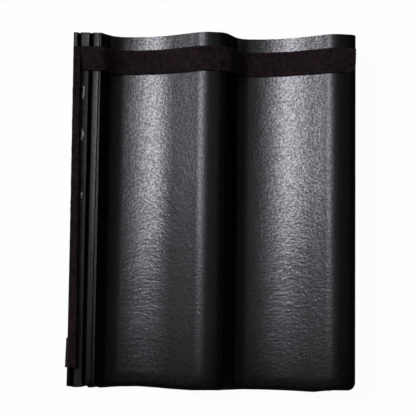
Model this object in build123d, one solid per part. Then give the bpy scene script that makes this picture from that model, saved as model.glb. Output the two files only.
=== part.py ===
"""Concrete roof tile with two rolls, a side lock and two foam sealing strips, lying on its back ribs."""

import os
from math import atan2, copysign, degrees, radians, tan

from build123d import *

# Driving dimensions in millimetres. Before it is laid down the tile has X across from
# the lock side, Y up the slope from the tail and Z above the bottom of the pans.
tile_length = 420
cover_width = 300
side_lap = 34
wall = 12
rolls = 2

# One roll, read across: crest, steep flank, pan and long ramp up to the next crest.
roll_height = 34.3
crest_width = 25
crest_fall = 2.5
flank_run = 17.8
pan_flat = 2
wing_width = 29.8
crest_bend = 30
brink_bend = 16
flank_foot_reach = 12.4
ramp_foot_reach = 30.6

# Side lock: three ribs and two grooves, and the cover ribs that hang into the next tile's grooves.
lock_width = 31.8
lock_gap = 2.3
lock_setback = 2
groove_depth = 6.5
lock_floor = 6.5
outer_rib = 3.3
outer_groove = 4.7
middle_rib = 8.2
inner_groove = 3.6
groove_draft = 0.5
bead_width = 2.8
bead_notch = 1.2
notch_depth = 1.0
rib_rounding = 0.7
cover_rib_play = 0.4

# Lug on the outer edge of the lock near the tail, a little wider at its lower end.
lug_start = 26
lug_length = 34
lug_width = 2.3
lug_taper = 0.8

# Rounded edges.
nose_rounding = 7
tail_corner_rounding = 9
lock_nose_rounding = 3

# Hanging nibs at the head and weather bars at the tail, on the underside.
nib_width = 34
nib_depth = 15
nib_root = 18
nib_tip = 11
nib_head_gap = 3
nib_rounding = 2
bar_count = 2
bar_depth = 4.5
bar_width = 8
bar_inset = 4
bar_spacing = 26
bar_root = 2
bar_ramp_reach = 0.72

# Foam strips: one across the head, one down the outer rib.
seal_thickness = 8
seal_press = 7
head_seal_width = 29
head_seal_inset = 18
head_seal_end_gap = 1
lock_shoulder_bend = 3
side_seal_tail_gap = 26

# Sizes that follow from those above.
roll_pitch = cover_width / rolls
overall_width = cover_width + side_lap
lock_height = roll_height - wall - lock_gap
lock_base = lock_height - groove_depth - lock_floor
groove_level = lock_height - groove_depth
pan_width = flank_foot_reach + pan_flat + ramp_foot_reach
ramp_run = roll_pitch - crest_width - flank_run - pan_width
first_crest = overall_width - wing_width - (rolls - 1) * roll_pitch
first_foot = first_crest - ramp_run - pan_width
side_seal_width = outer_rib + outer_groove
inner_groove_start = side_seal_width + middle_rib
inner_rib_start = inner_groove_start + inner_groove


def bend_over(reach, before, corner, after):
    """Radius that rounds a corner over a reach on each side of it."""
    turn = radians((corner - before).get_angle(after - corner))
    return reach / tan(turn / 2)


def parallel(points, depth):
    """Corners of the same bent line, shifted below it by a depth."""
    ways = [(b - a).normalized() for a, b in zip(points, points[1:])]
    normals = [Vector(way.Y, -way.X) for way in ways]
    before = normals[:1] + normals
    after = normals + normals[-1:]
    return [p + (m + n) * (depth / (1 + m.dot(n))) for p, m, n in zip(points, before, after)]


def bent_line(points, bends, depth):
    """Rounded line at a depth below the weather face; pans bend up, crests (negative) bend down."""
    radii = [max(0, (bend + depth) * copysign(1, bend)) for bend in bends]
    return FilletPolyline(*parallel(points, depth), radius=radii)


def between(upper, lower):
    """Flat section enclosed by two lines."""
    ends = [Line(upper @ 0, lower @ 0), Line(upper @ 1, lower @ 1)]
    return make_face(upper.edges() + lower.edges() + ends)


def up_slope(section, start, length):
    """A section run up the slope from a distance above the tail."""
    return Pos(0, start, 0) * extrude(Plane.XZ * section, amount=-length)


# Corners of the weather face from the lock shoulder to the right edge.
shoulder = Vector(lock_width, lock_height)
corners = [shoulder]
bends = []
for roll in range(rolls):
    foot = Vector(first_foot + roll * roll_pitch, 0)
    rise = Vector(foot.X + pan_width, 0)
    crest = Vector(first_crest + roll * roll_pitch, roll_height)
    foot_bend = bend_over(flank_foot_reach, corners[-1], foot, rise)
    rise_bend = bend_over(ramp_foot_reach, foot, rise, crest)
    corners += [foot, rise, crest]
    bends += [foot_bend, rise_bend, -crest_bend]
    if roll < rolls - 1:
        corners += [crest + Vector(crest_width, -crest_fall)]
        bends += [-brink_bend]
wing_edge = Vector(overall_width, roll_height - crest_fall * wing_width / crest_width)
wing_level = Vector(overall_width, roll_height)

# Rolls and pans, with the cover wing flat beneath so that it lies over the next tile's lock.
weather_line = bent_line(corners + [wing_edge], bends, 0)
back_line = bent_line(corners + [wing_level], bends, wall)
waves = up_slope(between(weather_line, back_line), 0, tile_length)

# Tail corner of the wing, then one rounding that runs along its edge, the corner and the nose.
tail_corner = waves.edges().filter_by(Axis.Z).group_by(Axis.X)[-1].sort_by(Axis.Y)[0]
waves = fillet(tail_corner, tail_corner_rounding)
wing_rim = waves.edges().filter_by(Axis.Y).group_by(Axis.X)[-1].sort_by(Axis.Z)[-1]
waves = fillet(wing_rim, nose_rounding)

# Side lock: ribs with rounded shoulders, grooves with drafted walls and a bead notched off the inner rib.
bead_start = shoulder.X - bead_width
lock_line = FilletPolyline(
    (0, lock_base),
    (0, lock_height),
    (outer_rib, lock_height),
    (outer_rib + groove_draft, groove_level),
    (side_seal_width - groove_draft, groove_level),
    (side_seal_width, lock_height),
    (inner_groove_start, lock_height),
    (inner_groove_start + groove_draft, groove_level),
    (inner_rib_start - groove_draft, groove_level),
    (inner_rib_start, lock_height),
    (bead_start - bead_notch, lock_height),
    (bead_start - bead_notch / 2, lock_height - notch_depth),
    (bead_start, lock_height),
    shoulder,
    radius=[rib_rounding] * 9 + [0] * 3,
)
flank_back = parallel(corners[:2], wall)
flank_way = (flank_back[1] - flank_back[0]).normalized()
lock_heel = flank_back[0] + flank_way * ((lock_base - flank_back[0].Y) / flank_way.Y)
lock_back = Polyline((0, lock_base), lock_heel, flank_back[0], shoulder)
lock_section = make_face(lock_line.edges() + lock_back.edges())
lock = up_slope(lock_section, lock_setback, tile_length - lock_setback)

# Rounded tail end of the lock ribs.
end_round = lock_nose_rounding
end_line = Polyline(
    (lock_setback + end_round, lock_height),
    (lock_setback, lock_height),
    (lock_setback, lock_height - end_round),
)
end_arc = RadiusArc(end_line @ 1, end_line @ 0, end_round)
lock -= extrude(Plane.YZ * make_face(end_line.edges() + end_arc.edges()), amount=shoulder.X)

# Lug on the outer rib.
lug_plan = Polygon(
    (-lug_width, lug_start),
    (outer_rib / 2, lug_start),
    (outer_rib / 2, lug_start + lug_length),
    (lug_taper - lug_width, lug_start + lug_length),
    align=None,
)
lug = Pos(0, 0, lock_base) * extrude(lug_plan, amount=lock_height - lock_base)

# Ribs under the wing that hang into the grooves of the next tile.
cover_ribs = []
for start, width in ((outer_rib, outer_groove), (inner_groove_start, inner_groove)):
    rib_left = cover_width + start + groove_draft + cover_rib_play
    rib_width = width - 2 * groove_draft - 2 * cover_rib_play
    rib_rise = lock_height + lock_gap - groove_level
    rib_section = Pos(rib_left, groove_level + lock_gap) * Rectangle(rib_width, rib_rise, align=Align.MIN)
    cover_ribs += [up_slope(rib_section, 0, tile_length)]

# Hanging nibs under the pans, square to the slope on the side that bears on the batten.
nib_face = tile_length - nib_head_gap - nib_root
nib_side = Polygon(
    (nib_face, -wall / 2),
    (nib_face, -wall - nib_depth),
    (nib_face + nib_tip, -wall - nib_depth),
    (nib_face + nib_root, -wall / 2),
    align=None,
)
nib = extrude(Plane.YZ * nib_side, amount=nib_width)
nib = fillet(nib.edges().filter_by(Axis.X, reverse=True).group_by(Axis.Z)[:-1], nib_rounding)
pan_middle = first_foot + pan_width / 2
nibs = [Pos(pan_middle + roll * roll_pitch - nib_width / 2, 0, 0) * nib for roll in range(rolls)]

# Weather bars across the back of the tail, from the first flank to the last ramp.
bar_end = corners[-2] + (corners[-1] - corners[-2]) * bar_ramp_reach
bar_corners = corners[:-1] + [bar_end]
bar_root_line = bent_line(bar_corners, bends[:-1], wall - bar_root)
bar_edge_line = bent_line(bar_corners, bends[:-1], wall + bar_depth)
bar_section = between(bar_root_line, bar_edge_line)
bars = [up_slope(bar_section, bar_inset + bar * bar_spacing, bar_width) for bar in range(bar_count)]

# One casting.
tile = waves + lock
for piece in [lug] + cover_ribs + nibs + bars:
    tile += piece

# Foam strip across the head, pressed onto the weather face and into the inner groove.
seal_top = tile_length - head_seal_inset
seal_start = Vector(side_seal_width, lock_height)
seal_stop = wing_edge - Vector(head_seal_end_gap, 0)
seal_corners = [seal_start] + corners + [seal_stop]
seal_bends = [-lock_shoulder_bend] + bends
seal_outer_line = bent_line(seal_corners, seal_bends, -seal_thickness)
seal_inner_line = bent_line(seal_corners, seal_bends, seal_press)
seal_section = between(seal_outer_line, seal_inner_line)
head_seal = up_slope(seal_section, seal_top - head_seal_width, head_seal_width) - tile

# Foam strip down the outer rib and groove.
side_length = seal_top - side_seal_tail_gap
side_rise = seal_thickness + groove_depth
side_strip = Box(side_seal_width, side_length, side_rise, align=Align.MIN)
side_seal = Pos(0, side_seal_tail_gap, groove_level) * side_strip - tile

# Laid down: the tail bar and the nibs touch the floor, with the origin under the middle.
lie_angle = degrees(atan2(nib_depth - bar_depth, nib_face - bar_inset))
laid = [Rot(X=lie_angle) * piece for piece in (tile, head_seal, side_seal)]
box = Compound([solid for piece in laid for solid in piece.solids()]).bounding_box()
stand = Pos(-box.center().X, -box.center().Y, -box.min.Z)

os.makedirs("parts", exist_ok=True)
for name, piece in zip(("tile", "head_seal", "side_seal"), laid):
    export_step(stand * piece, f"parts/{name}.step")
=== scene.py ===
"""A black coated concrete roof tile with two foam sealing strips, lying on a pale floor."""

import math
import random

import bmesh
import bpy
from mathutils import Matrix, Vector


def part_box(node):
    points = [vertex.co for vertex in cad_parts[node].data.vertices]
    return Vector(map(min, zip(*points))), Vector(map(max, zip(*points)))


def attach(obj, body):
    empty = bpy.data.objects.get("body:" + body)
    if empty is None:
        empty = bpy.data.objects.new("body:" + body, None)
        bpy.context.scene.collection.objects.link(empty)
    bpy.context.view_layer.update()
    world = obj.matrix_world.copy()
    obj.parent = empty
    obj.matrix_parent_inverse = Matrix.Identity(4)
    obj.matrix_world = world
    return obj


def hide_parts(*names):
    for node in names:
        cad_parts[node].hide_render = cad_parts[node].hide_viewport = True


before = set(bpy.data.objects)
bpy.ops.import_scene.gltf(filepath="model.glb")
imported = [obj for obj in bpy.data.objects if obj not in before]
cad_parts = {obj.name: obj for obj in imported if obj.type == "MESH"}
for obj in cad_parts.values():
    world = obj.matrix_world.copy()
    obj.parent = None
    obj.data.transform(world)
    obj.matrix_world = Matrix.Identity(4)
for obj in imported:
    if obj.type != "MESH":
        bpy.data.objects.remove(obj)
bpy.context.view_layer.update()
bpy.ops.object.select_all(action="DESELECT")

# The tile is one concrete casting: a wet strip pressed into two rolls and two pans, cut to
# length, coated black and satin on its weather face, and left bare underneath.
# It is drawn here in millimetres, as its end section, and then run up the slope.
tile_length = 420
wing_right = 334
wall = 12
lock_width = 31.8
rib_top = 20
hairbreadth = 0.01

# Corners of the weather face from the lock to the wing's edge: place across, height and bend.
weather = [
    (lock_width, rib_top, 0),
    (47, 0, 25),
    (92, 0, 118.85),
    (153.4, 34.2, 27),
    (179.2, 31.8, 16),
    (197, 0, 21.15),
    (239, 0, 128),
    (274, 16.6, 225),
    (306, 35, 26),
    (wing_right, 31.32, 0),
]


def turn_at(before, here, after):
    """The way in, the way out and the turn between them at a corner, anticlockwise positive."""
    into = Vector((here[0] - before[0], here[1] - before[1])).normalized()
    out = Vector((after[0] - here[0], after[1] - here[1])).normalized()
    return into, out, math.atan2(into.x * out.y - into.y * out.x, into.dot(out))


def parallel(corners, depth):
    """The same bent line, shifted below itself by a depth."""
    shifted = []
    last = len(corners) - 1
    for i, (x, z, bend) in enumerate(corners):
        before = corners[i - 1] if i else (2 * x - corners[1][0], 2 * z - corners[1][1])
        after = corners[i + 1] if i < last else (2 * x - before[0], 2 * z - before[1])
        into, out, turn = turn_at(before, (x, z), after)
        below = Vector((into.y + out.y, -into.x - out.x)) * (depth / (1 + into.dot(out)))
        radius = max(0, bend + math.copysign(depth, depth * turn)) if bend else 0
        shifted.append((x + below.x, z + below.y, radius))
    return shifted


def start_point(name, x, y, z):
    """A new object with a single point, in edit mode."""
    bpy.ops.mesh.primitive_plane_add(size=1, location=(0, 0, 0))
    bpy.context.object.name = name
    bpy.ops.object.mode_set(mode="EDIT")
    bpy.ops.mesh.select_mode(type="VERT")
    bpy.ops.mesh.select_all(action="SELECT")
    bpy.ops.mesh.merge(type="CENTER")
    bpy.ops.transform.translate(value=(x, y, z))
    return bpy.context.object


def draw_straight(here, there, chord):
    """Pull the selected point along a straight run, in steps of about one chord."""
    run = Vector(there) - Vector(here)
    if run.length < 1e-4:
        return
    steps = max(1, round(run.length / chord))
    move = {"value": (run.x / steps, 0, run.y / steps)}
    for _ in range(steps):
        bpy.ops.mesh.extrude_region_move(TRANSFORM_OT_translate=move)


def draw_bent(corners, level, chord, last_chord):
    """Pull the selected point along a line of corners, spinning it round each bend."""
    here = Vector(corners[0][:2])
    for before, corner, after in zip(corners, corners[1:], corners[2:]):
        into, out, turn = turn_at(before, corner, after)
        bend = corner[2]
        reach = bend * math.tan(abs(turn) / 2)
        start = Vector(corner[:2]) - into * reach
        draw_straight(here, start, chord)
        if bend:
            centre = start + Vector((-into.y, into.x)) * math.copysign(bend, turn)
            steps = max(2, round(bend * abs(turn) / chord))
            bpy.ops.mesh.spin(steps=steps, angle=turn, center=(centre.x, level, centre.y), axis=(0, 1, 0))
        here = Vector(corner[:2]) + out * reach
    draw_straight(here, corners[-1][:2], last_chord)


def run_up_slope(length):
    """Close the drawn outline, fill it and extrude it up the slope."""
    bpy.ops.mesh.select_all(action="SELECT")
    bpy.ops.mesh.remove_doubles(threshold=1e-3)
    bpy.ops.mesh.edge_face_add()
    bpy.ops.mesh.extrude_region_move(TRANSFORM_OT_translate={"value": (0, length, 0)})
    bpy.ops.mesh.select_all(action="SELECT")
    bpy.ops.mesh.normals_make_consistent(inside=False)


# Back of the wing, read from its edge, with the two ribs that hang into the next tile's lock.
wing_under = 22.3
cover_rib_foot = 15.8
wing_back = [
    (wing_right, wing_under, 0),
    (318.9, wing_under, 0),
    (318.9, cover_rib_foot, 0),
    (317.1, cover_rib_foot, 0),
    (317.1, wing_under, 0),
    (310, 22.2, 0),
    (307.1, 21.6, 0),
    (307.1, cover_rib_foot, 0),
    (304.2, cover_rib_foot, 0),
    (304.2, 19.9, 0),
]

# Rolls, pans and wing. The weather face gets fine chords, and the flat runs get one step each.
weather_chord = 1.6
back_chord = 6
one_step = tile_length
back = parallel(weather[:-1], wall)
tile = start_point("concrete_tile", weather[0][0], 0, weather[0][1])
draw_bent(weather, 0, weather_chord, one_step)
draw_bent([weather[-1]] + wing_back, 0, one_step, one_step)
draw_bent([wing_back[-1]] + back[-2::-1], 0, back_chord, back_chord)
draw_bent([back[0], weather[0]], 0, one_step, one_step)
run_up_slope(tile_length)


def select(obj, kind, test):
    """Select the faces, edges or points of a mesh in edit mode that pass a test."""
    bpy.ops.mesh.select_mode(type=kind)
    bpy.ops.mesh.select_all(action="DESELECT")
    mesh = bmesh.from_edit_mesh(obj.data)
    for item in {"VERT": mesh.verts, "EDGE": mesh.edges, "FACE": mesh.faces}[kind]:
        if test(item):
            item.select_set(True)
    bmesh.update_edit_mesh(obj.data)


def ends(edge):
    """The places of an edge's two points."""
    return edge.verts[0].co, edge.verts[1].co


def looks_up(item):
    """Whether a face or a point looks up, as those of the weather face do."""
    return item.normal.z > 0.2


# Rounded tail corner, then the nose rounding along the tail, the corner and the wing's edge.
nose_rounding = 7
corner_rounding = 9
select(tile, "EDGE", lambda e: all(c.x > wing_right - hairbreadth and c.y < hairbreadth for c in ends(e)))
bpy.ops.mesh.bevel(offset=corner_rounding, segments=8, affect="EDGES", clamp_overlap=False)


def on_nose(edge):
    """Edges between the weather face and the tail end, the round corner or the wing's side."""
    beside_upright = min(abs(f.normal.z) for f in edge.link_faces) < 0.01
    beside_weather = any(looks_up(f) for f in edge.link_faces)
    head_edge = min(c.y for c in ends(edge)) > tile_length - 1
    inside = all(c.x < wing_right - corner_rounding - hairbreadth and c.y > hairbreadth for c in ends(edge))
    return beside_upright and beside_weather and not head_edge and not inside


select(tile, "EDGE", on_nose)
bpy.ops.mesh.bevel(offset=nose_rounding, segments=7, affect="EDGES", clamp_overlap=False)

# Columns across the flat of the wing, and one row clear of the round corner.
wing_flat_start = 313.3
wing_flat_stop = 327
first_column = 314.8
column_count = 7
long_face = 500


def on_wing(face):
    """Long faces of the wing's flat and of the nose below it."""
    over_flat = wing_flat_start < face.calc_center_median().x < wing_flat_stop
    over_nose = face.normal.y < -0.05 and face.normal.z > 0.02
    level = face.normal.z > 0.9 and face.calc_area() > long_face
    return over_flat and (over_nose or level)


for column in range(column_count):
    select(tile, "FACE", on_wing)
    bpy.ops.mesh.bisect(plane_co=(first_column + column * weather_chord, 0, 0), plane_no=(1, 0, 0))
select(tile, "FACE", lambda f: looks_up(f) and f.calc_area() > long_face)
bpy.ops.mesh.bisect(plane_co=(0, corner_rounding + 1, 0), plane_no=(0, 1, 0))

# Two weather bars across the back of the tail, raised along the rolls from the lock to the last ramp.
bar_starts = (4, 30)
bar_width = 8
bar_depth = 4.5
bar_stop = 291.7
rolls_stop = 304


def on_back(face):
    """Faces under the rolls and pans, short of the wing's ribs."""
    return face.normal.z < -0.2 and face.calc_center_median().x < rolls_stop


def on_bar(face):
    """Faces of the back that stand under a weather bar."""
    middle = face.calc_center_median()
    return on_back(face) and middle.x < bar_stop and any(s < middle.y < s + bar_width for s in bar_starts)


for bar_start in bar_starts:
    for bar_side in (bar_start, bar_start + bar_width):
        select(tile, "FACE", on_back)
        bpy.ops.mesh.bisect(plane_co=(0, bar_side, 0), plane_no=(0, 1, 0))
select(tile, "FACE", lambda f: on_back(f) and f.calc_center_median().y < bar_starts[-1] + bar_width)
bpy.ops.mesh.bisect(plane_co=(bar_stop, 0, 0), plane_no=(1, 0, 0))
select(tile, "FACE", on_bar)
bar_raise = {"value": bar_depth, "use_even_offset": True}
bpy.ops.mesh.extrude_region_shrink_fatten(TRANSFORM_OT_shrink_fatten=bar_raise)
bpy.ops.object.mode_set(mode="OBJECT")

# Side lock on the left: three ribs, two grooves and a bead, drawn as its end section and set back a little.
lock_setback = 2.6
lock_base = 7
groove_floor = 13.5
rib_bend = 0.7
lock_outline = [
    (0, lock_base, 0),
    (0, rib_top, rib_bend),
    (3.3, rib_top, rib_bend),
    (3.8, groove_floor, rib_bend),
    (7.5, groove_floor, rib_bend),
    (8, rib_top, rib_bend),
    (15.4, rib_top - 0.08, 0),
    (17.7, rib_top, rib_bend),
    (18.2, groove_floor, rib_bend),
    (20.9, groove_floor, rib_bend),
    (21.4, rib_top, rib_bend),
    (24.2, rib_top - 0.25, 0),
    (27.8, rib_top, 0),
    (28.4, rib_top - 1, 0),
    (29, rib_top, 0),
    (lock_width, rib_top - 0.03, 0),
    (34, 14, 0),
    (30, lock_base, 0),
    (0, lock_base, 0),
]
lock = start_point("lock", 0, lock_setback, lock_base)
draw_bent(lock_outline, lock_setback, one_step, one_step)
run_up_slope(tile_length - lock_setback)
bpy.ops.object.mode_set(mode="OBJECT")


def add_box(name, low, high):
    """A new box between two corners, with its place in its mesh."""
    middle = [(a + b) / 2 for a, b in zip(low, high)]
    size = [b - a for a, b in zip(low, high)]
    bpy.ops.mesh.primitive_cube_add(size=1, location=middle, scale=size)
    bpy.context.object.name = name
    bpy.ops.object.transform_apply(location=True, rotation=True, scale=True)
    return bpy.context.object


def combine(body, piece, operation):
    """Join a piece to a body, or cut it away, and drop the piece."""
    bpy.ops.object.select_all(action="DESELECT")
    bpy.context.view_layer.objects.active = body
    body.select_set(True)
    step = body.modifiers.new("step", "BOOLEAN")
    step.operation = operation
    step.solver = "MANIFOLD"
    step.object = piece
    bpy.ops.object.modifier_apply(modifier="step")
    bpy.data.objects.remove(piece)


def push(obj, test, shift, reach=0):
    """Shift the points that pass a test and, with a reach, the mesh around them, ever less with distance."""
    select(obj, "VERT", test)
    soft = {"use_proportional_edit": True, "proportional_edit_falloff": "SMOOTH"}
    around = {**soft, "proportional_size": reach} if reach else {}
    bpy.ops.transform.translate(value=shift, **around)


# Rounded tail ends of the ribs, cut with a box that has the rounding taken out of it.
lock_rounding = 3
lock_middle = 17
cut_half = 20
cut_margin = 2
round_start = lock_setback + lock_rounding
round_base = rib_top - lock_rounding
cut_low = (lock_middle - cut_half, lock_setback - cut_margin, round_base)
cut_high = (lock_middle + cut_half, round_start, rib_top + cut_margin)
end_cut = add_box("end_cut", cut_low, cut_high)
bpy.ops.mesh.primitive_cylinder_add(vertices=24, radius=lock_rounding, depth=3 * cut_half,
                                    location=(lock_middle, round_start, round_base),
                                    rotation=(0, math.pi / 2, 0))
end_round = bpy.context.object
bpy.ops.object.transform_apply(location=True, rotation=True, scale=True)
combine(end_cut, end_round, "DIFFERENCE")
combine(lock, end_cut, "DIFFERENCE")

# Ends worn back at the outer edge and on the inner rib: from, to and depth.
bpy.ops.object.mode_set(mode="EDIT")
worn_reach = 11
for worn_left, worn_right, worn_depth in ((-1, 0.8, 1.6), (20, 35, 0.9)):
    push(lock, lambda v: worn_left < v.co.x < worn_right and v.co.y < round_start + 0.1,
         (0, worn_depth, 0), worn_reach)

# Toward the head the groove walls stand further over, each with its place across and its shift.
taper_start = 190
wall_reach = 0.9
wall_shifts = ((0, -0.8), (3.4, 0.9), (28.4, 1.7), (24.2, 1.0), (21.3, 1.0), (17.8, 0.6))


def at_head(point):
    """Whether a point lies on the cut at the head."""
    return point.co.y > tile_length - 0.1


bpy.ops.mesh.select_all(action="SELECT")
bpy.ops.mesh.bisect(plane_co=(0, taper_start, 0), plane_no=(0, 1, 0))
for wall_x, wall_shift in wall_shifts:
    push(lock, lambda v: at_head(v) and abs(v.co.x - wall_x) < wall_reach and v.co.z > groove_floor - 0.1,
         (wall_shift, 0, 0))

# One cut where the dust and painted shade on the middle rib stop, and one where the groove floors rise to
# the head.
dust_shade_stop = 380
rise_start = 412
groove_rise = 3.5
for cut_level in (dust_shade_stop, rise_start):
    bpy.ops.mesh.select_all(action="SELECT")
    bpy.ops.mesh.bisect(plane_co=(0, cut_level, 0), plane_no=(0, 1, 0))
push(lock, lambda v: at_head(v) and lock_base + 0.5 < v.co.z < rib_top - 2, (0, 0, groove_rise))
bpy.ops.object.mode_set(mode="OBJECT")

# Two hanging nibs under the pans near the head, square on the side that bears on the batten.
nib_face = 399
nib_half = 17
nib_root = 18
nib_tip = 11
nib_depth = 15
nib_rounding = 2
nib_top = -wall / 2
nib_foot = -wall - nib_depth
nib_middle = (nib_top + nib_foot) / 2
nibs = []
for pan_middle in (69.5, 219.5):
    nib_low = (pan_middle - nib_half, nib_face, nib_foot)
    nib_high = (pan_middle + nib_half, nib_face + nib_root, nib_top)
    nib = add_box("nib", nib_low, nib_high)
    bpy.ops.object.mode_set(mode="EDIT")
    select(nib, "VERT", lambda v: v.co.z < nib_middle)
    nib_corner = (pan_middle, nib_face, nib_foot)
    bpy.ops.transform.resize(value=(1, nib_tip / nib_root, 1), center_override=nib_corner)
    select(nib, "EDGE", lambda e: min(c.z for c in ends(e)) < nib_middle)
    bpy.ops.mesh.bevel(offset=nib_rounding, segments=6, affect="EDGES")
    bpy.ops.object.mode_set(mode="OBJECT")
    nibs.append(nib)

# Lug on the outer edge of the lock near the tail, a little wider at its lower end.
lug_width = 2.3
lug_root = 1.65
lug_start = 26
lug_stop = 60
lug_taper = 0.8
lug_rounding = 0.6
lug = add_box("lug", (-lug_width, lug_start, lock_base), (lug_root, lug_stop, rib_top))
bpy.ops.object.mode_set(mode="EDIT")
push(lug, lambda v: v.co.x < 0 and v.co.y > lug_stop - 1, (lug_taper, 0, 0))
select(lug, "EDGE", lambda e: all(c.x < 0 for c in ends(e)))
bpy.ops.mesh.bevel(offset=lug_rounding, segments=2, affect="EDGES")
bpy.ops.object.mode_set(mode="OBJECT")

# All of it is one casting.
for piece in [lock, lug] + nibs:
    combine(tile, piece, "UNION")
bpy.ops.object.mode_set(mode="EDIT")


def on_rolls(edge):
    """Edges of the weather face to the right of the lock."""
    past_lock = min(c.x for c in ends(edge)) > lock_width + hairbreadth
    return past_lock and any(looks_up(f) for f in edge.link_faces)


# Rows up the slope, cut in two rounds, close enough to carry the relief of the weather face.
for longer_than in (350, 20):
    select(tile, "EDGE", lambda e: abs(e.verts[0].co.y - e.verts[1].co.y) > longer_than and on_rolls(e))
    bpy.ops.mesh.subdivide(number_cuts=15)

# The wet nose sagged a little along its whole width.
sag_depth = 1.0
sag_reach = 11
push(tile, lambda v: abs(v.co.y - nose_rounding) < 0.1 and looks_up(v) and v.co.x > lock_width,
     (0, 0, -sag_depth), sag_reach)

# Its edge was cut unevenly: each dip has its middle, half width, depth and reach.
dips = [
    (27, 6, 1.2, 5),
    (33, 2, 1.2, 10),
    (66, 2, 2.0, 45),
    (94, 2, 1.6, 28),
    (130, 2, 1.2, 45),
    (168, 2, 1.9, 30),
    (301, 2, 2.0, 16),
    (325, 13, 3.2, 16),
]
for dip_x, dip_half, dip_depth, dip_reach in dips:
    push(tile, lambda v: abs(v.co.x - dip_x) < dip_half and v.co.y < nose_rounding + 0.5,
         (0, dip_depth, 0), dip_reach)

# A pimple in the coat of the first pan and a pit below it: place across, place up the slope and rise.
spot_half = 0.9
spot_reach = 2.4
for spot_x, spot_y, spot_rise in ((52.6, 37, 0.7), (54.3, 10.1, -0.5)):
    push(tile,
         lambda v: looks_up(v) and max(abs(v.co.x - spot_x), abs(v.co.y - spot_y)) < spot_half,
         (0, 0, spot_rise), spot_reach)
bpy.ops.object.mode_set(mode="OBJECT")


def add_node(tree, kind, feeds, **settings):
    """A new node of a material, with values or links for its inputs."""
    node = tree.nodes.new(kind)
    for name, value in settings.items():
        setattr(node, name, value)
    for name, value in feeds.items():
        if isinstance(value, bpy.types.NodeSocket):
            tree.links.new(value, node.inputs[name])
        else:
            node.inputs[name].default_value = value
    return node


def new_finish(name, values):
    """A new material with values of its shader; its nodes, shader and Object coordinates come with it."""
    finish = bpy.data.materials.new(name)
    finish.use_nodes = True
    tree = finish.node_tree
    shader = tree.nodes["Principled BSDF"]
    for socket, value in values.items():
        shader.inputs[socket].default_value = value
    return finish, tree, shader, add_node(tree, "ShaderNodeTexCoord", {}).outputs["Object"]


def cloudy(tree, spot, scale, detail):
    """A cloudy pattern, finer with a larger scale."""
    feeds = {"Vector": spot, "Scale": scale, "Detail": detail}
    return add_node(tree, "ShaderNodeTexNoise", feeds).outputs["Fac"]


def fade(tree, value, start, stop, first=0, last=1):
    """A share that goes from first to last as a value goes from start to stop."""
    feeds = {"Value": value, "From Min": start, "From Max": stop, "To Min": first, "To Max": last}
    return add_node(tree, "ShaderNodeMapRange", feeds).outputs["Result"]


def work_out(tree, operation, *values):
    """The result of one step of arithmetic on numbers or links."""
    return add_node(tree, "ShaderNodeMath", dict(enumerate(values)), operation=operation).outputs["Value"]


def two_tone(tree, share, colour, other, blend_type="MIX"):
    """One colour going over into another, or multiplied by it, by a share."""
    feeds = {"Factor": share, "A": colour, "B": other}
    return add_node(tree, "ShaderNodeMix", feeds, data_type="RGBA", blend_type=blend_type).outputs["Result"]


def roughen(tree, shader, height, depth):
    """Give a finish the fine relief of a pattern, and return its normal."""
    bump = add_node(tree, "ShaderNodeBump", {"Height": height, "Strength": 1, "Distance": depth})
    tree.links.new(bump.outputs["Normal"], shader.inputs["Normal"])
    return bump.outputs["Normal"]


# Coat: black satin over sand, pebbly near the head and rippled across the slope lower down.
coat, tree, shader, spot = new_finish("black_coat", {"Roughness": 0.45, "Coat Roughness": 0.2})
places = add_node(tree, "ShaderNodeSeparateXYZ", {"Vector": spot}).outputs
across = places["X"]
up_slope = places["Y"]
pebbles = cloudy(tree, spot, scale=380, detail=2)
stretched = add_node(tree, "ShaderNodeMapping", {"Vector": spot, "Scale": (130, 290, 130)})
ripples = cloudy(tree, stretched.outputs["Vector"], scale=1, detail=2)
pebbly_above = 0.06
rippled_below = -0.12
pebble_share = fade(tree, up_slope, pebbly_above, rippled_below, first=1, last=0.9)
ripple_share = fade(tree, up_slope, pebbly_above, rippled_below, first=0.15, last=0.85)
pebbly = work_out(tree, "MULTIPLY", pebbles, pebble_share)
skin = work_out(tree, "MULTIPLY_ADD", ripples, ripple_share, pebbly)
skin_normal = roughen(tree, shader, skin, depth=0.00023)
tree.links.new(skin_normal, shader.inputs["Coat Normal"])
gloss = fade(tree, pebbles, 0.35, 0.65, first=0.28)

# Each flank, between the crest and the pan, is painted blacker: painted shade on the side turned away from
# the soft box. The coat is thinner there too, which the gloss below takes up.
# Places are in metres, from the middle of the tile or from the nearest crest.
crest_place = -0.01165
half_pitch = 0.075
lock_side = -0.134
coat_black = (0.0105, 0.0105, 0.011, 1)
painted_shade_black = (0.002, 0.002, 0.0021, 1)
from_first = work_out(tree, "SUBTRACT", across, crest_place)
from_crest = work_out(tree, "WRAP", from_first, half_pitch, -half_pitch)
past_crest = fade(tree, from_crest, 0.008, 0.028)
before_pan = fade(tree, from_crest, 0.042, 0.034)
on_flank = work_out(tree, "MINIMUM", past_crest, before_pan)
off_lock = work_out(tree, "GREATER_THAN", across, lock_side)
shaded_thin_flank = work_out(tree, "MULTIPLY", on_flank, off_lock)
# Painted shade: the flanks' black is deepened toward the painted shade black.
blacks_with_shade = two_tone(tree, shaded_thin_flank, coat_black, painted_shade_black)
grainy = two_tone(tree, 1, blacks_with_shade, gloss, blend_type="MULTIPLY")
tree.links.new(grainy, shader.inputs["Base Color"])

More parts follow.
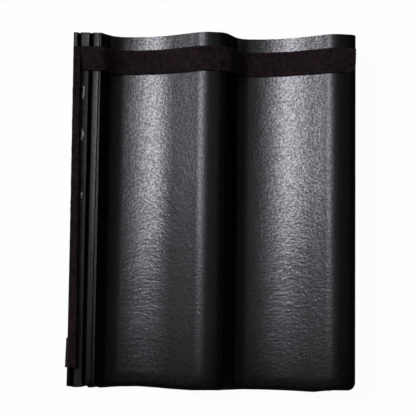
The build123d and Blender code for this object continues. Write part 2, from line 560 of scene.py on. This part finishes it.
# Gloss is lost on the steep of the flank, along the worn crest and over the nose.
steepest = 0.74
thin_film = fade(tree, shaded_thin_flank, 0, 1, first=1, last=0.3)
brink = fade(tree, from_crest, 0.024, 0.038, first=0.08, last=0.4)
facing = add_node(tree, "ShaderNodeTexCoord", {}).outputs["Normal"]
facing_right = add_node(tree, "ShaderNodeSeparateXYZ", {"Vector": facing}).outputs["X"]
flank_fade = fade(tree, facing_right, steepest, brink, last=thin_film)
crest_gap = work_out(tree, "ABSOLUTE", from_crest)
worn = fade(tree, crest_gap, 0.005, 0.014, first=0.38)
uneven_by = 0.012
uneven = work_out(tree, "MULTIPLY_ADD", ripples, uneven_by, up_slope)
nose_fade = fade(tree, uneven, -0.198, -0.165)
nose_dull = fade(tree, uneven, -0.1955, -0.1905, first=0.05, last=0.3)
tail_dull = fade(tree, up_slope, -0.2, -0.13, first=0.45)
sheen = work_out(tree, "MULTIPLY", nose_dull, tail_dull)
sheen = work_out(tree, "MULTIPLY", sheen, flank_fade)
tree.links.new(sheen, shader.inputs["Specular IOR Level"])
film = work_out(tree, "MULTIPLY", gloss, worn)
film = work_out(tree, "MULTIPLY", film, nose_fade)
film = work_out(tree, "MULTIPLY", film, flank_fade)
tree.links.new(film, shader.inputs["Coat Weight"])

# Edges: the nose and the rim of the wing, where the cut concrete took little coat and stays matt.
edge_black = (0.001, 0.001, 0.001, 1)
edge_grit = (0.005, 0.005, 0.0051, 1)
edge_coat, tree, shader, spot = new_finish("matt_edge", {"Roughness": 0.9, "Specular IOR Level": 0.035})
grit = cloudy(tree, spot, scale=420, detail=3)
shades = two_tone(tree, grit, edge_black, edge_grit)
tree.links.new(shades, shader.inputs["Base Color"])
roughen(tree, shader, grit, depth=0.0006)

# Underside and head cut: bare concrete, dyed dark grey, with pale sand grains.
dark_grey = (0.035, 0.035, 0.034, 1)
light_grey = (0.075, 0.074, 0.071, 1)
sand_grain = (0.16, 0.155, 0.145, 1)
bare, tree, shader, spot = new_finish("bare_concrete", {"Roughness": 0.9, "Specular IOR Level": 0.25})
clouds = cloudy(tree, spot, scale=45, detail=4)
greys = two_tone(tree, clouds, dark_grey, light_grey)
sand = cloudy(tree, spot, scale=900, detail=1)
grains = fade(tree, sand, 0.66, 0.72)
speckled = two_tone(tree, grains, greys, sand_grain)
tree.links.new(speckled, shader.inputs["Base Color"])
roughen(tree, shader, sand, depth=0.0005)

# Middle rib of the lock beside the foam: mortar dust, thinner toward the tail, on a dark matt finish that is
# also painted shade from the foam strip.
shaded_rib = (0.006, 0.0061, 0.0055, 1)
dusty_rib = (0.075, 0.075, 0.066, 1)
dust_and_shade, tree, shader, spot = new_finish("mortar_dust_and_shade", {"Roughness": 0.9, "Specular IOR Level": 0.2})
grit = cloudy(tree, spot, scale=260, detail=3)
up_slope = add_node(tree, "ShaderNodeSeparateXYZ", {"Vector": spot}).outputs["Y"]
thinned = fade(tree, up_slope, -0.2, 0.02, first=0.4)
dusted = work_out(tree, "MULTIPLY", grit, thinned)
olives = two_tone(tree, dusted, shaded_rib, dusty_rib)
tree.links.new(olives, shader.inputs["Base Color"])

# The coat is all over, and the other three finishes go on the faces that have them.
tile.data.materials.clear()
for finish in (coat, edge_coat, bare, dust_and_shade):
    tile.data.materials.append(finish)
bpy.ops.object.mode_set(mode="EDIT")
dust_shade_left = 8.5
dust_shade_right = 16.6
dust_shade_start = 5


def on_edge(face):
    """Faces that round over the nose or the wing's rim, steep flanks and the lock's grooves."""
    middle = face.calc_center_median()
    over_nose = middle.y < nose_rounding + 5 and face.normal.y < -0.25
    over_rim = middle.x > wing_right - nose_rounding and face.normal.x > 0.15
    sunk = middle.z < rib_top - 2
    leaning = face.normal.x > 0.3 or face.normal.x < -0.08
    in_groove = middle.x < lock_width and (sunk or leaning)
    steep = face.normal.x > 0.78
    return over_nose or over_rim or in_groove or steep


def on_bare(face):
    """Faces of the underside and of the cut at the head."""
    below = face.normal.z < -0.3
    head_cut = face.normal.y > 0.7 and face.calc_center_median().y > tile_length - 1
    return below or head_cut


def on_dusty_shaded_rib(face):
    """Faces on the middle rib beside the foam."""
    middle = face.calc_center_median()
    beside_foam = dust_shade_left < middle.x < dust_shade_right and dust_shade_start < middle.y < dust_shade_stop - 1
    return beside_foam and middle.z > rib_top - 1


for number, test in ((1, on_edge), (2, on_bare), (3, on_dusty_shaded_rib)):
    select(tile, "FACE", test)
    tile.active_material_index = number
    bpy.ops.object.material_slot_assign()
bpy.ops.object.mode_set(mode="OBJECT")

# Crumbs of pale mortar stuck on the middle rib, close beside the foam: from, to and how many.
crumb_groups = ((340, 356, 7), (290, 306, 6), (222, 230, 2))
mortar_shade = (0.3, 0.3, 0.27, 1)
mortar_pale = (0.85, 0.86, 0.8, 1)
crumb, tree, shader, spot = new_finish("pale_mortar", {"Roughness": 0.8})
grit = cloudy(tree, spot, scale=700, detail=3)
pales = two_tone(tree, grit, mortar_shade, mortar_pale)
tree.links.new(pales, shader.inputs["Base Color"])
chance = random.Random(4)
crumbs = []
for crumb_start, crumb_stop, crumb_count in crumb_groups:
    for _ in range(crumb_count):
        crumb_spot = (chance.uniform(11.2, 12.8), chance.uniform(crumb_start, crumb_stop), rib_top - 0.1)
        crumb_size = (chance.uniform(0.8, 1.4), chance.uniform(1.6, 4.2), chance.uniform(0.4, 0.7))
        bpy.ops.mesh.primitive_ico_sphere_add(subdivisions=2, radius=1, location=crumb_spot,
                                              scale=crumb_size)
        bpy.context.object.name = "crumb"
        bpy.ops.object.mode_set(mode="EDIT")
        bpy.ops.transform.vertex_random(offset=0.25, uniform=0.4, seed=chance.randint(0, 999))
        bpy.ops.object.mode_set(mode="OBJECT")
        bpy.context.object.data.materials.append(crumb)
        crumbs.append(bpy.context.object)
for piece in crumbs + [tile]:
    piece.select_set(True)
bpy.context.view_layer.objects.active = tile
bpy.ops.object.join()

# Laid down: turned onto the tail bar and the nibs, in metres, with its box where the model has it.
millimetre = 0.001
lie_angle = math.atan2(nib_depth - bar_depth, nib_face - bar_starts[0])


def lay_down(obj, shift):
    """Turn a piece drawn in millimetres into the lying position and shift it to its place."""
    bpy.ops.object.select_all(action="DESELECT")
    bpy.context.view_layer.objects.active = obj
    obj.select_set(True)
    obj.scale = (millimetre, millimetre, millimetre)
    obj.rotation_euler = (lie_angle, 0, 0)
    obj.location = shift
    bpy.ops.object.transform_apply(location=True, rotation=True, scale=True)


lay_down(tile, (0, 0, 0))
lying_low = Vector(min(v.co[i] for v in tile.data.vertices) for i in range(3))
tile_shift = Vector(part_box("tile")[0]) - lying_low
tile.location = tile_shift
bpy.ops.object.transform_apply(location=True, rotation=True, scale=True)


def relief(obj, name, grain, height, group=""):
    """Press a cloudy relief of a grain size and height into a piece, or into a group of its points."""
    clouds = bpy.data.textures.new(name, "CLOUDS")
    clouds.noise_scale = grain
    clouds.noise_depth = 1
    clouds.noise_basis = "ORIGINAL_PERLIN"
    press = obj.modifiers.new(name, "DISPLACE")
    press.texture = clouds
    press.texture_coords = "LOCAL"
    press.strength = height
    press.mid_level = 0.5
    press.vertex_group = group
    bpy.ops.object.modifier_apply(modifier=name)


# Relief of the coated weather face: slow waves from pressing and a pebbly grain of sand under the coat.
bpy.ops.object.mode_set(mode="EDIT")
tile.vertex_groups.new(name="weather")
weather_left = tile_shift.x + (lock_width + 0.5) * millimetre
select(tile, "FACE", lambda f: looks_up(f) and f.calc_center_median().x > weather_left)
bpy.ops.object.vertex_group_assign()
bpy.ops.object.mode_set(mode="OBJECT")
relief(tile, "slow_waves", grain=0.025, height=0.0003, group="weather")
relief(tile, "pebbles", grain=0.0038, height=0.00018, group="weather")
bpy.ops.object.shade_smooth_by_angle(angle=math.radians(20))

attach(tile, "root")
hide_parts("tile")

# Head strip: a foam sealing strip pressed over the rolls and pans below the head edge, glued down.
# It is cut from sheet foam of one thickness, and pressed thin along its lower edge.
strip_thickness = 8
strip_start = 374.2
strip_width = 27.8
strip_sink = 0.3
strip_chord = 4
strip_end_chord = 40
strip_line = [(8, rib_top, 0), (lock_width, rib_top, 3)] + weather[1:-1] + [(331.7, 31.55, 0)]
strip_top = parallel(strip_line, -strip_thickness)
strip_back = parallel(strip_line, strip_sink)
head_strip = start_point("head_strip", strip_top[0][0], strip_start, strip_top[0][1])
draw_bent(strip_top + strip_back[-1:], strip_start, strip_chord, strip_end_chord)
draw_bent(strip_back[::-1] + strip_top[:1], strip_start, strip_chord, strip_end_chord)
run_up_slope(strip_width)
press_spread = 0.7
press_depth = 5
push(head_strip, lambda v: v.co.y < strip_start + 0.1 and v.normal.z > 0.1,
     (0, -press_spread, -press_depth))
bpy.ops.object.mode_set(mode="OBJECT")
lay_down(head_strip, tile_shift)


def foam_skin(obj):
    """Even out the mesh of a foam piece and give it the uneven skin of cut foam."""
    remesh = obj.modifiers.new("even", "REMESH")
    remesh.mode = "VOXEL"
    remesh.voxel_size = 0.0011
    bpy.ops.object.modifier_apply(modifier="even")
    relief(obj, obj.name + "_cut", grain=0.009, height=0.0008)
    relief(obj, obj.name + "_pores", grain=0.0025, height=0.0004)
    bpy.ops.object.shade_smooth()


foam_skin(head_strip)
brown_black = (0.0072, 0.0052, 0.0058, 1)
worn_brown = (0.0208, 0.0128, 0.0142, 1)
foam, tree, shader, spot = new_finish("brown_black_foam", {"Roughness": 1, "Specular IOR Level": 0.06})
mottle = fade(tree, cloudy(tree, spot, scale=200, detail=4), 0.35, 0.65)
browns = two_tone(tree, mottle, brown_black, worn_brown)
tree.links.new(browns, shader.inputs["Base Color"])
pores = cloudy(tree, spot, scale=800, detail=2)
roughen(tree, shader, pores, depth=0.0008)
head_strip.data.materials.append(foam)
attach(head_strip, "root")
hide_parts("head_seal")

# Side strip: the same foam in a narrow strip glued along the outer rib and groove of the lock.
# It was laid by hand, strays a little in from the outer edge toward the tail and is wider there.
side_width = 8
side_start = 26
side_stop = strip_start + strip_width
side_middle = (side_start + side_stop) / 2
side_inner = side_width / 2 + 1
tail_drift = 1.4
inner_spread = 0.5
tail_spread = 1.5
side_top = rib_top + strip_thickness
side_strip = add_box("side_strip", (0, side_start, rib_top), (side_width, side_stop, side_top))
bpy.ops.object.mode_set(mode="EDIT")
push(side_strip, lambda v: v.co.y < side_middle, (tail_drift, 0, 0))
push(side_strip, lambda v: v.co.x > side_inner, (inner_spread, 0, 0))
push(side_strip, lambda v: v.co.y < side_middle and v.co.x > side_inner, (tail_spread, 0, 0))
bpy.ops.object.mode_set(mode="OBJECT")
lay_down(side_strip, tile_shift)
foam_skin(side_strip)
side_strip.data.materials.append(foam)
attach(side_strip, "root")
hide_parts("side_seal")

# Floor: a plain pale sheet of paper under the tile. It shows almost white to the camera and
# in reflections, and keeps the tile's soft shadow.
floor_size = 40
white_share = 0.97
bpy.ops.mesh.primitive_plane_add(size=floor_size, location=(0, 0, 0))
floor = bpy.context.object
floor.name = "floor"
pale = {"Base Color": (0.9, 0.9, 0.9, 1), "Roughness": 0.9, "Specular IOR Level": 0}
paper, tree, shader, _ = new_finish("pale_paper", pale)
glow = add_node(tree, "ShaderNodeEmission", {"Strength": 1}).outputs["Emission"]
ray = add_node(tree, "ShaderNodeLightPath", {}).outputs
seen = work_out(tree, "ADD", ray["Is Camera Ray"], ray["Is Glossy Ray"])
seen_or_through = {0: seen, 1: ray["Is Transmission Ray"]}
shown = add_node(tree, "ShaderNodeMath", seen_or_through, operation="ADD", use_clamp=True)
white = work_out(tree, "MULTIPLY", shown.outputs["Value"], white_share)
blend = add_node(tree, "ShaderNodeMixShader", {"Fac": white, 1: shader.outputs["BSDF"], 2: glow})
tree.links.new(blend.outputs["Shader"], tree.nodes["Material Output"].inputs["Surface"])
floor.data.materials.append(paper)

# Light: a wide soft box on the left, built up in three layers so that it is brightest in its
# middle. Each layer has its width, brightness and spread.
softbox_spot = Vector((-0.852, 0.35, 1.306))
softbox_aim = Vector((0.16, 0.03, 0.05))
softbox_turn = (softbox_aim - softbox_spot).to_track_quat("-Z", "Y").to_euler()
softbox_depth = 0.68
layer_gap = 0.01
softbox_layers = ((1.65, 4.8, 180), (1.02, 10, 180), (0.58, 3, 50))
for number, (softbox_width, level, spread) in enumerate(softbox_layers):
    bpy.ops.object.light_add(type="AREA", location=softbox_spot, rotation=softbox_turn)
    bpy.ops.transform.translate(value=(0, 0, layer_gap * number))
    softbox = bpy.context.object
    softbox.name = "softbox"
    softbox.data.shape = "RECTANGLE"
    softbox.data.size = softbox_depth
    softbox.data.size_y = softbox_width
    softbox.data.spread = math.radians(spread)
    softbox.data.energy = level * softbox_depth * softbox_width
    softbox.data.color = (0.93, 0.915, 1)

# Room: pale walls low down, mirrored in the gloss of steep faces, under a dark ceiling.
world = bpy.data.worlds.new("room")
world.use_nodes = True
tree = world.node_tree
outward = add_node(tree, "ShaderNodeTexCoord", {}).outputs["Generated"]
upward = add_node(tree, "ShaderNodeSeparateXYZ", {"Vector": outward}).outputs["Z"]
walls = fade(tree, upward, 0.2, 0.42, first=0.5, last=0.012)
tree.nodes["Background"].inputs["Color"].default_value = (1, 1, 1, 1)
tree.links.new(walls, tree.nodes["Background"].inputs["Strength"])
bpy.context.scene.world = world
bpy.context.scene.view_settings.view_transform = "Standard"

# Camera: almost straight above, the head at the top of the picture. Its turn is in degrees.
camera_spot = (-0.0335, -0.11846, 1.21924)
camera_turn = (5.8711, -1.4374, 0.672)
bpy.ops.object.camera_add(location=camera_spot)
camera = bpy.context.object
camera.rotation_euler = [math.radians(angle) for angle in camera_turn]
camera.data.lens = 87.45
camera.data.sensor_width = 36
bpy.context.scene.camera = camera
